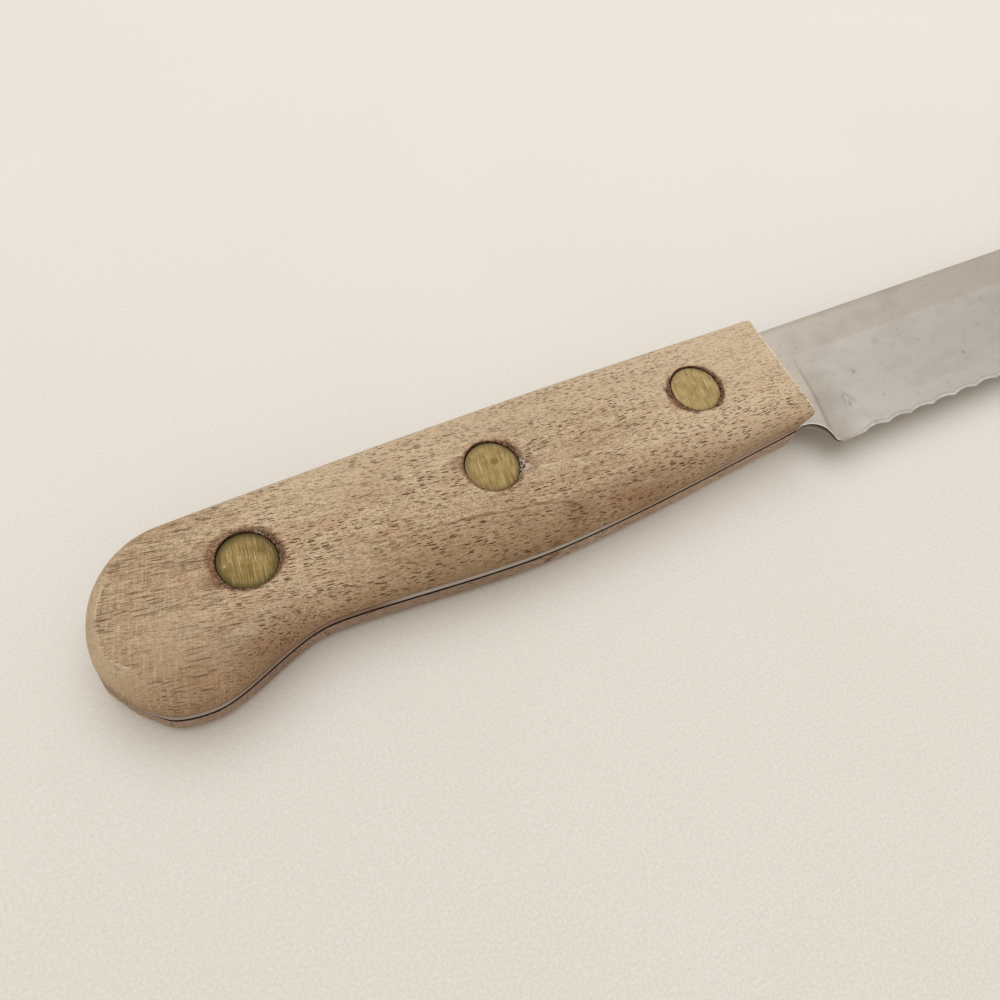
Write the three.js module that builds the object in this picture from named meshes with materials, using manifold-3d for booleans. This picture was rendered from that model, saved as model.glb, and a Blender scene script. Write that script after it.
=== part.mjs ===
// A serrated kitchen knife: a steel blade with a full tang, two wooden scales and three two-piece rivets.
// Millimetres. The knife lies on its lower scale, with +X to the tip, +Y to the spine and +Z up.
// It is drawn with x = 0 at the front of the scales, y = 0 along the spine of the blade and z = 0
// under the lower scale. The finished knife is then moved so that its origin lies below its middle.

import * as THREE from "three";
import { mergeVertices } from "three/addons/utils/BufferGeometryUtils.js";
import Module from "manifold-3d";

const wasm = await Module();
wasm.setup();

// Steel
const STEEL_THICKNESS = 1.6;
const BLADE_LENGTH = 178; // front of the scales to the tip
const HEEL_SETBACK = 4.5; // front of the scales to the back of the heel
const HEEL_DROP = 5.15; // cutting edge below the belly at the front of the handle
const HEEL_RADIUS = 1;
const TIP_DROP = 18.5; // tip below the line of the spine
const SPINE_SWEEP = 58; // length of the curve that takes the spine down to the tip
const EDGE_SWEEP = 32; // length of the curve that takes the edge up to the tip

// Hollow grind, the same on both sides
const FLAT_BAND = 6.95; // flat steel left below the spine
const EDGE_THICKNESS = 0.4;
const GRIND_RADIUS = 300;
const PLUNGE_AT_EDGE = 5; // end of the grind, from the front of the scales
const PLUNGE_LEAN = 3.2; // how much further forward the grind ends at the flat band

// Serration: shallow scallops ground from the upper side
const SCALLOP_PITCH = 5.6;
const SCALLOP_DEPTH = 0.55;
const SCALLOP_TILT = 60; // degrees between the grinding wheel and the square of the blade
const POINT_FLAT = 0.14; // width left at each point
const PLAIN_HEEL = 5.6; // plain edge in front of the heel
const PLAIN_TIP = 7; // plain edge behind the tip

// Outline of the handle, shared by the tang and both scales. Depths are below the spine of the blade.
const HANDLE_LENGTH = 120.2;
const SPINE_STEP = 0.75; // spine of the handle above the spine of the blade, at the front
const SPINE_CROWN = 1.05; // the same, halfway along
const FRONT_DEPTH = 20.25;
const BELLY_DEPTH = 23.95;
const BELLY_FROM_FRONT = 53;
const WAIST_DEPTH = 21.5;
const WAIST_FROM_BUTT = 31.9;
const HOOK_DEPTH = 26.85;
const HOOK_FROM_BUTT = 12.4;
const BUTT_DEPTH = 15.3; // depth of the point that reaches furthest back
const SHOULDER_DEPTH = 0.1; // where the spine begins to round into the butt
const SHOULDER_FROM_BUTT = 14.2;

// Wooden scales
const SCALE_THICKNESS = 5;
const SEAM = 0.15; // gap between the tang and each scale
const CORNER_RADIUS = 1.2; // front corners, seen from above
const SPINE_ROUND_WIDTH = 1;
const SPINE_ROUND_HEIGHT = 1.2;
const BUTT_ROUND_WIDTH = 1.7;
const BUTT_ROUND_HEIGHT = 2;
const BELLY_ROUND_WIDTH = 5.4;
const BELLY_ROUND_HEIGHT = 3.6;
const UPPER_FRONT_ROUND_WIDTH = 0.8; // belly edge at the front, hardly rounded on the upper scale
const UPPER_FRONT_ROUND_HEIGHT = 1;
const LOWER_FRONT_ROUND_WIDTH = 3;
const LOWER_FRONT_ROUND_HEIGHT = 4;
const SIDE_LAND = 0.5; // least upright side left below a rounded edge

// Rivets
const FRONT_RIVET_INSET = 17.95; // from the front of the scales
const FRONT_RIVET_DEPTH = 8.85; // from the spine of the blade
const BUTT_RIVET_INSET = 23.25; // from the butt
const BUTT_RIVET_DEPTH = 10.25;
const HEAD_DIAMETER = 8.7;
const HEAD_THICKNESS = 1.6;
const HEAD_RECESS = 0.2; // heads below the face of the wood
const POST_DIAMETER = 3.4;
const SOCKET_WALL = 0.75;
const POST_CLEARANCE = 0.05; // post in socket, all round
const SHANK_CLEARANCE = 0.25; // socket in the scales and the tang, all round
const HEAD_CLEARANCE = 0.4; // head in its counterbore, all round
const SEAT_CLEARANCE = 0.05; // under each head
const END_CLEARANCE = 0.4; // past the end of the post and of the socket

// Fineness of curves
const CURVE_STEPS = 10;
const ROUND_STEPS = 28;
const ROUNDOVER_STEPS = 5;
const GRIND_STEPS = 6;
const SCALLOP_STEPS = 12;

// Heights that follow from the stack of scale, tang and scale
const TANG_BOTTOM = SCALE_THICKNESS + SEAM;
const TANG_TOP = TANG_BOTTOM + STEEL_THICKNESS;
const TANG_MIDDLE = (TANG_BOTTOM + TANG_TOP) / 2;
const UPPER_BOTTOM = TANG_TOP + SEAM;
const KNIFE_TOP = UPPER_BOTTOM + SCALE_THICKNESS;
const BLADE_DEPTH = FRONT_DEPTH + HEEL_DROP;
const SOCKET_RADIUS = POST_DIAMETER / 2 + POST_CLEARANCE + SOCKET_WALL;
const SHANK_HOLE_RADIUS = SOCKET_RADIUS + SHANK_CLEARANCE;
const OVERCUT = 1; // how far a cutting shape reaches past what it cuts

const X_AXIS = new THREE.Vector3(1, 0, 0);
const Y_AXIS = new THREE.Vector3(0, 1, 0);
const Z_AXIS = new THREE.Vector3(0, 0, 1);

const STEEL = new THREE.MeshStandardMaterial({ color: 0xb9b2a8, roughness: 0.38, metalness: 1 });
const WALNUT = new THREE.MeshStandardMaterial({ color: 0xb4987a, roughness: 0.7, metalness: 0 });
const BRASS = new THREE.MeshStandardMaterial({ color: 0x9c8453, roughness: 0.45, metalness: 1 });

// A geometry as a solid that can be joined and cut.
function solidOf(geometry) {
  const bare = new THREE.BufferGeometry();
  bare.setAttribute("position", geometry.getAttribute("position"));
  bare.setIndex(geometry.getIndex());
  const merged = mergeVertices(bare);
  const index = merged.getIndex().array;
  const triangles = [];
  for (let i = 0; i < index.length; i += 3) {
    const [a, b, c] = index.slice(i, i + 3);
    if (a !== b && b !== c && c !== a) {
      triangles.push(a, b, c);
    }
  }
  return new wasm.Manifold(
    new wasm.Mesh({
      numProp: 3,
      vertProperties: merged.getAttribute("position").array,
      triVerts: new Uint32Array(triangles),
    }),
  );
}

// A solid as a geometry with flat faces.
function geometryOf(solid) {
  const mesh = solid.getMesh();
  const indexed = new THREE.BufferGeometry();
  indexed.setAttribute("position", new THREE.BufferAttribute(mesh.vertProperties, 3));
  indexed.setIndex(new THREE.BufferAttribute(mesh.triVerts, 1));
  const geometry = indexed.toNonIndexed();
  geometry.computeVertexNormals();
  return geometry;
}

function namedMesh(name, geometry, material) {
  const mesh = new THREE.Mesh(geometry, material);
  mesh.name = name;
  return mesh;
}

function extruded(shape, depth, curveSegments = CURVE_STEPS) {
  return new THREE.ExtrudeGeometry(shape, { depth, curveSegments, bevelEnabled: false });
}

// A turned shape about an upright axis, from [radius, height] pairs that start and end on the axis.
function turned(profile) {
  const points = profile.map(([radius, height]) => new THREE.Vector2(radius, height));
  return new THREE.LatheGeometry(points, ROUND_STEPS).rotateX(Math.PI / 2);
}

// Draws the handle from the front of the spine, round the butt and along the belly to the front again.
function drawHandle(path) {
  const butt = -HANDLE_LENGTH;
  const shoulder = butt + SHOULDER_FROM_BUTT;
  const hook = butt + HOOK_FROM_BUTT;
  const waist = butt + WAIST_FROM_BUTT;
  const belly = -BELLY_FROM_FRONT;
  const front = -CORNER_RADIUS;
  const crownPull = 2 * SPINE_CROWN - (SPINE_STEP - SHOULDER_DEPTH) / 2;
  path.moveTo(front, SPINE_STEP);
  path.quadraticCurveTo(shoulder / 2, crownPull, shoulder, -SHOULDER_DEPTH);
  path.bezierCurveTo(
    THREE.MathUtils.lerp(shoulder, butt, 0.5),
    -SHOULDER_DEPTH,
    butt,
    THREE.MathUtils.lerp(-SHOULDER_DEPTH, -BUTT_DEPTH, 0.37),
    butt,
    -BUTT_DEPTH,
  );
  path.bezierCurveTo(
    butt,
    THREE.MathUtils.lerp(-BUTT_DEPTH, -HOOK_DEPTH, 0.55),
    THREE.MathUtils.lerp(butt, hook, 0.36),
    -HOOK_DEPTH,
    hook,
    -HOOK_DEPTH,
  );
  path.bezierCurveTo(
    THREE.MathUtils.lerp(hook, waist, 0.27),
    -HOOK_DEPTH,
    THREE.MathUtils.lerp(hook, waist, 0.66),
    -WAIST_DEPTH,
    waist,
    -WAIST_DEPTH,
  );
  path.bezierCurveTo(
    THREE.MathUtils.lerp(waist, belly, 0.21),
    -WAIST_DEPTH,
    THREE.MathUtils.lerp(waist, belly, 0.66),
    -BELLY_DEPTH,
    belly,
    -BELLY_DEPTH,
  );
  path.bezierCurveTo(
    THREE.MathUtils.lerp(belly, front, 0.26),
    -BELLY_DEPTH,
    THREE.MathUtils.lerp(belly, front, 0.68),
    THREE.MathUtils.lerp(-BELLY_DEPTH, -FRONT_DEPTH, 0.6),
    front,
    -FRONT_DEPTH,
  );
}

// Outline of one scale with the way each point moves in as the edge rounds over, and how far.
function scaleOutline(facing) {
  const corner = CORNER_RADIUS;
  const topCorner = new THREE.QuadraticBezierCurve(
    new THREE.Vector2(0, SPINE_STEP - corner),
    new THREE.Vector2(0, SPINE_STEP),
    new THREE.Vector2(-corner, SPINE_STEP),
  );
  const lowCorner = new THREE.QuadraticBezierCurve(
    new THREE.Vector2(-corner, -FRONT_DEPTH),
    new THREE.Vector2(0, -FRONT_DEPTH),
    new THREE.Vector2(0, corner - FRONT_DEPTH),
  );
  const side = new THREE.Path();
  drawHandle(side);
  const cornerSteps = 3;
  const top = topCorner.getPoints(cornerSteps).slice(0, -1);
  const low = lowCorner.getPoints(cornerSteps).slice(1);
  const middle = side.getPoints(CURVE_STEPS);
  const points = [...top, ...middle, ...low];
  return points.map((at, i) => {
    const inTopCorner = i <= top.length;
    const inLowCorner = i >= points.length - low.length - 1;
    const inward = new THREE.Vector2(0, inTopCorner ? -1 : 1);
    if (!inTopCorner && !inLowCorner) {
      const along = points[i + 1].clone().sub(points[i - 1]).normalize();
      inward.set(-along.y, along.x);
    }
    return { at, inward, ...roundover(at, inward, facing) };
  });
}

// Size of the rounded edge, which follows the way the outline faces: spine, butt or belly.
// Along the belly it grows from the front to the fullest part.
function roundover(at, inward, facing) {
  const facesSpine = inward.y < 0;
  const frontWidth = facing > 0 ? UPPER_FRONT_ROUND_WIDTH : LOWER_FRONT_ROUND_WIDTH;
  const frontHeight = facing > 0 ? UPPER_FRONT_ROUND_HEIGHT : LOWER_FRONT_ROUND_HEIGHT;
  const bellyShare = THREE.MathUtils.smoothstep(-at.x, 0, BELLY_FROM_FRONT);
  const bellyWidth = THREE.MathUtils.lerp(frontWidth, BELLY_ROUND_WIDTH, bellyShare);
  const bellyHeight = THREE.MathUtils.lerp(frontHeight, BELLY_ROUND_HEIGHT, bellyShare);
  const sideWidth = facesSpine ? SPINE_ROUND_WIDTH : bellyWidth;
  const sideHeight = facesSpine ? SPINE_ROUND_HEIGHT : bellyHeight;
  const buttShare = facesSpine || inward.x > 0 ? inward.x ** 2 : 0;
  const height = THREE.MathUtils.lerp(sideHeight, BUTT_ROUND_HEIGHT, buttShare);
  return {
    width: THREE.MathUtils.lerp(sideWidth, BUTT_ROUND_WIDTH, buttShare),
    height: Math.min(height, SCALE_THICKNESS - SIDE_LAND),
  };
}

// One scale as a stack of outlines, from the seam to the outer face. facing is 1 upwards and -1 downwards.
function scaleBlank(seamHeight, facing) {
  const outline = scaleOutline(facing);
  const count = outline.length;
  const positions = outline.flatMap(({ at }) => [at.x, at.y, seamHeight]);
  for (let step = 0; step <= ROUNDOVER_STEPS; step += 1) {
    const turn = (step / ROUNDOVER_STEPS) * (Math.PI / 2);
    for (const { at, inward, width, height } of outline) {
      const inset = width * (1 - Math.cos(turn));
      const rise = SCALE_THICKNESS - height * (1 - Math.sin(turn));
      const place = at.clone().addScaledVector(inward, inset);
      positions.push(place.x, place.y, seamHeight + facing * rise);
    }
  }
  const faces = [];
  for (let ring = 0; ring <= ROUNDOVER_STEPS; ring += 1) {
    for (let i = 0; i < count; i += 1) {
      const next = (i + 1) % count;
      const low = ring * count;
      const high = low + count;
      faces.push([low + i, low + next, high + next], [low + i, high + next, high + i]);
    }
  }
  const lastRing = (ROUNDOVER_STEPS + 1) * count;
  const flat = outline.map(({ at }) => at);
  const face = outline.map(({ at, inward, width }) => at.clone().addScaledVector(inward, width));
  for (const [a, b, c] of THREE.ShapeUtils.triangulateShape(flat, [])) {
    faces.push([c, b, a]);
  }
  for (const [a, b, c] of THREE.ShapeUtils.triangulateShape(face, [])) {
    faces.push([lastRing + a, lastRing + b, lastRing + c]);
  }
  const geometry = new THREE.BufferGeometry();
  geometry.setAttribute("position", new THREE.Float32BufferAttribute(positions, 3));
  geometry.setIndex(faces.flatMap((corners) => (facing > 0 ? corners : corners.reverse())));
  return solidOf(geometry);
}

// Where the rivets pass through, with the middle one halfway between the other two.
function rivetPlaces() {
  const front = new THREE.Vector2(-FRONT_RIVET_INSET, -FRONT_RIVET_DEPTH);
  const butt = new THREE.Vector2(BUTT_RIVET_INSET - HANDLE_LENGTH, -BUTT_RIVET_DEPTH);
  const middle = front.clone().lerp(butt, 0.5);
  return { butt, middle, front };
}

// A scale with a counterbored hole for each rivet.
function makeScale(name, seamHeight, facing) {
  const holeRadius = SHANK_HOLE_RADIUS;
  const boreRadius = HEAD_DIAMETER / 2 + HEAD_CLEARANCE;
  const shelf = SCALE_THICKNESS - HEAD_RECESS - HEAD_THICKNESS - SEAT_CLEARANCE;
  const profile = [
    [0, -OVERCUT],
    [holeRadius, -OVERCUT],
    [holeRadius, shelf],
    [boreRadius, shelf],
    [boreRadius, SCALE_THICKNESS + OVERCUT],
    [0, SCALE_THICKNESS + OVERCUT],
  ];
  let scale = scaleBlank(seamHeight, facing);
  for (const { x, y } of Object.values(rivetPlaces())) {
    const hole = turned(profile);
    if (facing < 0) {
      hole.rotateX(Math.PI);
    }
    scale = scale.subtract(solidOf(hole.translate(x, y, seamHeight)));
  }
  return namedMesh(name, geometryOf(scale), WALNUT);
}

// The cutting edge before it is serrated, from the heel to the tip.
function cuttingEdge() {
  const heel = new THREE.Vector2(HEEL_SETBACK + HEEL_RADIUS, -BLADE_DEPTH);
  const bend = new THREE.Vector2(BLADE_LENGTH - EDGE_SWEEP, -BLADE_DEPTH);
  const pull = new THREE.Vector2(BLADE_LENGTH - EDGE_SWEEP * 0.4, -BLADE_DEPTH);
  const tip = new THREE.Vector2(BLADE_LENGTH, -TIP_DROP);
  const edge = new THREE.CurvePath();
  edge.add(new THREE.LineCurve(heel, bend));
  edge.add(new THREE.QuadraticBezierCurve(bend, pull, tip));
  return edge;
}

// The stamped sheet: tang, choil notch, heel, edge, tip and spine.
function bladeSheet() {
  const choilRadius = HEEL_DROP - HEEL_RADIUS;
  const choilCentre = -FRONT_DEPTH - choilRadius;
  const shape = new THREE.Shape();
  drawHandle(shape);
  shape.lineTo(HEEL_SETBACK - choilRadius, -FRONT_DEPTH);
  shape.absarc(HEEL_SETBACK - choilRadius, choilCentre, choilRadius, Math.PI / 2, 0, true);
  shape.absarc(HEEL_SETBACK + HEEL_RADIUS, choilCentre, HEEL_RADIUS, Math.PI, Math.PI * 1.5, false);
  const [straight, sweep] = cuttingEdge().curves;
  shape.lineTo(straight.v2.x, straight.v2.y);
  shape.quadraticCurveTo(sweep.v1.x, sweep.v1.y, sweep.v2.x, sweep.v2.y);
  shape.quadraticCurveTo(BLADE_LENGTH - SPINE_SWEEP * 0.4, 0, BLADE_LENGTH - SPINE_SWEEP, 0);
  shape.lineTo(0, 0);
  shape.closePath();
  return solidOf(extruded(shape, STEEL_THICKNESS).translate(0, 0, TANG_BOTTOM));
}

// Steel that the hollow grind takes off one side. facing is 1 for the upper side and -1 for the lower.
function hollowGrind(facing) {
  const top = new THREE.Vector2(-FLAT_BAND, STEEL_THICKNESS / 2);
  const edge = new THREE.Vector2(-BLADE_DEPTH, EDGE_THICKNESS / 2);
  const chord = top.clone().sub(edge);
  const reach = Math.sqrt(GRIND_RADIUS ** 2 - chord.lengthSq() / 4);
  const away = new THREE.Vector2(-chord.y, chord.x).normalize();
  const centre = top.clone().add(edge).multiplyScalar(0.5).addScaledVector(away, reach);
  const topAngle = Math.atan2(top.y - centre.y, top.x - centre.x);
  const edgeAngle = Math.atan2(edge.y - centre.y, edge.x - centre.x);
  const overrun = OVERCUT / GRIND_RADIUS;
  const clear = STEEL_THICKNESS / 2 + OVERCUT;
  const curve = new THREE.EllipseCurve(
    centre.x,
    centre.y,
    GRIND_RADIUS,
    GRIND_RADIUS,
    edgeAngle - overrun,
    topAngle + overrun,
  );
  const corners = [
    ...curve.getPoints(GRIND_STEPS),
    new THREE.Vector2(OVERCUT - FLAT_BAND, clear),
    new THREE.Vector2(-BLADE_DEPTH - OVERCUT, clear),
  ];
  const section = new THREE.Shape(corners.map(({ x, y }) => new THREE.Vector2(x, facing * y)));
  const length = BLADE_LENGTH + OVERCUT;
  const bar = extruded(section, length);
  bar.applyMatrix4(new THREE.Matrix4().makeBasis(Y_AXIS, Z_AXIS, X_AXIS));
  const plan = new THREE.Shape();
  plan.moveTo(PLUNGE_AT_EDGE, -BLADE_DEPTH - 2 * OVERCUT);
  plan.quadraticCurveTo(PLUNGE_AT_EDGE, -BLADE_DEPTH / 2, PLUNGE_AT_EDGE + PLUNGE_LEAN, -FLAT_BAND);
  plan.lineTo(PLUNGE_AT_EDGE + PLUNGE_LEAN, 2 * OVERCUT);
  plan.lineTo(length + OVERCUT, 2 * OVERCUT);
  plan.lineTo(length + OVERCUT, -BLADE_DEPTH - 2 * OVERCUT);
  plan.closePath();
  const block = extruded(plan, 2 * clear + OVERCUT).translate(0, 0, -clear - OVERCUT / 2);
  const ground = solidOf(bar.translate(0, 0, TANG_MIDDLE));
  return ground.intersect(solidOf(block.translate(0, 0, TANG_MIDDLE)));
}

// The grinding wheel that cuts one scallop, placed at a point of the cutting edge.
function scallopWheel(at, along) {
  const tilt = THREE.MathUtils.degToRad(SCALLOP_TILT);
  const half = (SCALLOP_PITCH - POINT_FLAT) / 2;
  const sagitta = SCALLOP_DEPTH * Math.cos(tilt);
  const radius = (half ** 2 + sagitta ** 2) / (2 * sagitta);
  const clear = EDGE_THICKNESS * Math.sin(tilt) + SCALLOP_DEPTH;
  const spread = Math.acos((radius - sagitta - clear) / radius);
  const rim = new THREE.Shape();
  const lowest = -Math.PI / 2;
  rim.absarc(0, radius - sagitta, radius, lowest - spread, lowest + spread, false);
  rim.closePath();
  const width = 2 * (STEEL_THICKNESS / Math.cos(tilt));
  const wheel = extruded(rim, width, SCALLOP_STEPS).translate(0, 0, -width / 2);
  const outward = new THREE.Vector3(along.y, -along.x, 0);
  const forward = new THREE.Vector3(along.x, along.y, 0);
  const rise = outward.clone().multiplyScalar(Math.cos(tilt)).addScaledVector(Z_AXIS, Math.sin(tilt));
  const axle = forward.clone().cross(rise);
  wheel.applyMatrix4(new THREE.Matrix4().makeBasis(forward, rise, axle));
  return solidOf(wheel.translate(at.x, at.y, TANG_MIDDLE - EDGE_THICKNESS / 2));
}

function makeBlade() {
  let blade = bladeSheet().subtract(hollowGrind(1)).subtract(hollowGrind(-1));
  for (const { x, y } of Object.values(rivetPlaces())) {
    const drill = new THREE.CylinderGeometry(
      SHANK_HOLE_RADIUS,
      SHANK_HOLE_RADIUS,
      STEEL_THICKNESS + 2 * OVERCUT,
      ROUND_STEPS,
    );
    blade = blade.subtract(solidOf(drill.rotateX(Math.PI / 2).translate(x, y, TANG_MIDDLE)));
  }
  const edge = cuttingEdge();
  const length = edge.getLength();
  const scallops = Math.floor((length - PLAIN_HEEL - PLAIN_TIP) / SCALLOP_PITCH);
  for (let i = 0; i < scallops; i += 1) {
    const share = (PLAIN_HEEL + (i + 0.5) * SCALLOP_PITCH) / length;
    blade = blade.subtract(scallopWheel(edge.getPointAt(share), edge.getTangentAt(share)));
  }
  return namedMesh("blade", geometryOf(blade), STEEL);
}

// The two halves of one rivet: a socket from above and a post pressed into it from below.
function makeRivet(name, { x, y }) {
  const headRadius = HEAD_DIAMETER / 2;
  const postRadius = POST_DIAMETER / 2;
  const boreRadius = postRadius + POST_CLEARANCE;
  const socketTop = KNIFE_TOP - HEAD_RECESS;
  const socketShelf = socketTop - HEAD_THICKNESS;
  const postBottom = HEAD_RECESS;
  const postShelf = postBottom + HEAD_THICKNESS;
  const socketEnd = postShelf + END_CLEARANCE;
  const socket = turned([
    [0, socketShelf],
    [boreRadius, socketShelf],
    [boreRadius, socketEnd],
    [SOCKET_RADIUS, socketEnd],
    [SOCKET_RADIUS, socketShelf],
    [headRadius, socketShelf],
    [headRadius, socketTop],
    [0, socketTop],
  ]);
  const post = turned([
    [0, postBottom],
    [headRadius, postBottom],
    [headRadius, postShelf],
    [postRadius, postShelf],
    [postRadius, socketShelf - END_CLEARANCE],
    [0, socketShelf - END_CLEARANCE],
  ]);
  return [
    namedMesh(name + "_rivet_socket", geometryOf(solidOf(socket.translate(x, y, 0))), BRASS),
    namedMesh(name + "_rivet_post", geometryOf(solidOf(post.translate(x, y, 0))), BRASS),
  ];
}

const knife = new THREE.Group();
knife.add(makeBlade());
knife.add(makeScale("upper_scale", UPPER_BOTTOM, 1));
knife.add(makeScale("lower_scale", SCALE_THICKNESS, -1));
for (const [name, place] of Object.entries(rivetPlaces())) {
  knife.add(...makeRivet(name, place));
}

const extent = new THREE.Box3().setFromObject(knife);
const middle = extent.getCenter(new THREE.Vector3());
knife.position.set(-middle.x, -middle.y, -extent.min.z);

const part = new THREE.Group();
part.name = "serrated_knife";
part.add(knife);

export default part;
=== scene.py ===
"""A serrated kitchen knife with a worn walnut handle, dressed over its solid model."""

import math

import bmesh
import bpy
from mathutils import Euler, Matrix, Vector, noise


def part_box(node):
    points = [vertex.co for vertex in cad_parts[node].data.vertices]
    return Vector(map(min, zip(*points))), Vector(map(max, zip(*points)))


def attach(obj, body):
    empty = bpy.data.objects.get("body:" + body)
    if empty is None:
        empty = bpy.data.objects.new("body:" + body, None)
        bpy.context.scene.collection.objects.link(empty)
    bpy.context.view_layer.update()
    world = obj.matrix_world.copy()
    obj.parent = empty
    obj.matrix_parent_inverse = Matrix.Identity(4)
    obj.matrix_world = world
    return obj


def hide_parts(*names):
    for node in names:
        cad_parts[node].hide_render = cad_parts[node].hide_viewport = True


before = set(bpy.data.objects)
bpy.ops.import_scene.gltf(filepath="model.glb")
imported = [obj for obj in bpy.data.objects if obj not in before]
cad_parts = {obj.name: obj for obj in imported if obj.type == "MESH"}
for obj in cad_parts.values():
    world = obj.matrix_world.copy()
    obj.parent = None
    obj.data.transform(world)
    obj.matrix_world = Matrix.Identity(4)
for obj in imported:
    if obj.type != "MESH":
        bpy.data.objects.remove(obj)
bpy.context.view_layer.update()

MM = 0.001

# Angles in degrees at which the pieces, and the blade's finer form, turn sharp
CREASE = 35
BLADE_CREASE = 28

# Outline of the handle, in mm from the front of the scales and below the spine of the blade
HANDLE_LENGTH = 120.2
SPINE_STEP = 0.75
SPINE_CROWN = 1.05
FRONT_DEPTH = 20.25
BELLY_DEPTH = 23.95
BELLY_FROM_FRONT = 53
WAIST_DEPTH = 21.5
WAIST_FROM_BUTT = 31.9
HOOK_DEPTH = 26.85
HOOK_FROM_BUTT = 12.4
BUTT_DEPTH = 15.3
SHOULDER_DEPTH = 0.1
SHOULDER_FROM_BUTT = 14.2
CORNER_RADIUS = 1.2
WORN_CORNER_RADIUS = 0.9
WORN_BUTT_CORNER = (-118, -22.3)
BUTT_WEAR = {"upper_scale": 0.4, "blade": 0.65, "lower_scale": 0.8}
BUTT_WEAR_REACH = 6.5
FULL_BUTT_WEAR_REACH = 2
SCALE_CURVE_STEPS = 44
TOP_CORNER_STEPS = 8
LOW_CORNER_STEPS = 12
FRONT_STEPS = 24
TANG_CURVE_STEPS = 30
# The two control points of each curve from the shoulder to the front, as shares of its way in x and y
HANDLE_PULLS = (
    ((0.5, 0), (1, 0.37)),
    ((0, 0.55), (0.36, 1)),
    ((0.27, 0), (0.66, 1)),
    ((0.21, 0), (0.66, 1)),
    ((0.26, 0), (0.68, 0.6)),
)

# Rounded edges of the scales, as (width, height): at the front corner, behind it and at the belly
BELLY_EDGES = {
    "upper_scale": ((0.45, 1.1), (2.2, 2.6), (6.4, 3.6)),
    "lower_scale": ((0.45, 1.1), (1.8, 2.2), (2.2, 2.0)),
}
FRONT_RUN = 8
FRONT_EDGE = 0.4
FRONT_FLARE = {"upper_scale": 0.7, "lower_scale": 0}
SPINE_EDGE_AT_FRONT = 0.7
SPINE_EDGE_WIDTH = 1.0
SPINE_EDGE_HEIGHT = 1.2
SPINE_EDGE_CRISPNESS = 0.15
BUTT_FACET_WIDTH = 1.7
BUTT_FACET_CHANGE = 0.5
BUTT_FACET_HEIGHT = 2.0
BUTT_FACET_CRISPNESS = 0.8
SHAVED_DEPTH = 0.12
EDGE_STEPS = 14
FACE_RINGS = (0.35, 1.0)
BELLY_SIDE = 0.3

# Scales: the groove along the seam has rows of (inset, height above the seam, dirt and painted shade)
SCALE_THICKNESS = 5
SEAM_GROOVES = {
    "upper_scale": ((0.08, 0, 0.25), (0, 0.08, 0.15), (0, 0.25, 0)),
    "lower_scale": ((0.22, 0, 1), (0, 0.1, 0.95), (0, 0.2, 0)),
}
# How much darker the seam's dirt and painted shade are at the butt
BUTT_SEAM_DARKNESS = 3
# Marks on the wood: wear, dirt and stain, painted highlights on the ridge and front edge, and painted shade
# on the belly side, in the seam and in the bores
WOOD_MARKS = ("ridge", "front_edge", "butt_bevel", "belly", "spine_rim", "seam", "grime", "stain")

# Rivets
RIVETS = {"butt": (-96.95, -10.25), "middle": (-57.45, -9.55), "front": (-17.95, -8.85)}
RIM_DULLNESS = {"butt": 1, "middle": 0.6, "front": 0.35}
HEAD_RADIUS = 4.35
HEAD_THICKNESS = 1.6
HEAD_RECESS = 0.2
HEAD_CLEARANCE = 0.05
SHANK_HOLE_RADIUS = 2.75
SOCKET_RADIUS = 2.5
POST_RADIUS = 1.7
POST_CLEARANCE = 0.05
END_CLEARANCE = 0.4
HEAD_STEPS = 72
SHANK_HOLE_STEPS = 48

# Face and rim of a rivet's head, as (radius, drop, dullness)
HEAD_ROWS = (
    (0, 0, 0), (1.2, 0, 0), (2.4, 0, 0.02), (3.0, 0.002, 0.15),
    (3.5, 0.006, 0.4), (3.9, 0.02, 0.75), (4.18, 0.05, 1), (4.3, 0.1, 1),
    (HEAD_RADIUS, 0.2, 1), (HEAD_RADIUS, HEAD_THICKNESS, 1),
)

# Worn lip of a rivet's bore, as (radius, depth, chips, dips), and its wall, as (radius, depth)
BORE_LIP = (
    (6.2, 0, 0, 0), (5.85, 0, 0.04, 0), (5.5, 0, 0.08, 0.02), (5.2, 0.01, 0.14, 0.04),
    (4.95, 0.03, 0.14, 0.07), (4.75, 0.06, 0.1, 0.09), (4.6, 0.09, 0.06, 0.08), (4.47, 0.12, 0.02, 0.04),
)
GAP_RADIUS = 4.44
GAP_DEPTH = 0.45
BORE_DEPTH = HEAD_RECESS + HEAD_THICKNESS + HEAD_CLEARANCE
BORE_WALL = (
    (GAP_RADIUS, GAP_DEPTH),
    (GAP_RADIUS, BORE_DEPTH),
    (SHANK_HOLE_RADIUS, BORE_DEPTH),
    (SHANK_HOLE_RADIUS, SCALE_THICKNESS),
)
BORE_STEPS = 160
GAP_OPEN_TURN = 1.9
GAP_OPENING = 0.12
GAP_CLOSING = 0.07
GAP_LEAN_REACH = 0.8
LIP_NARROWING = 0.5

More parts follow.
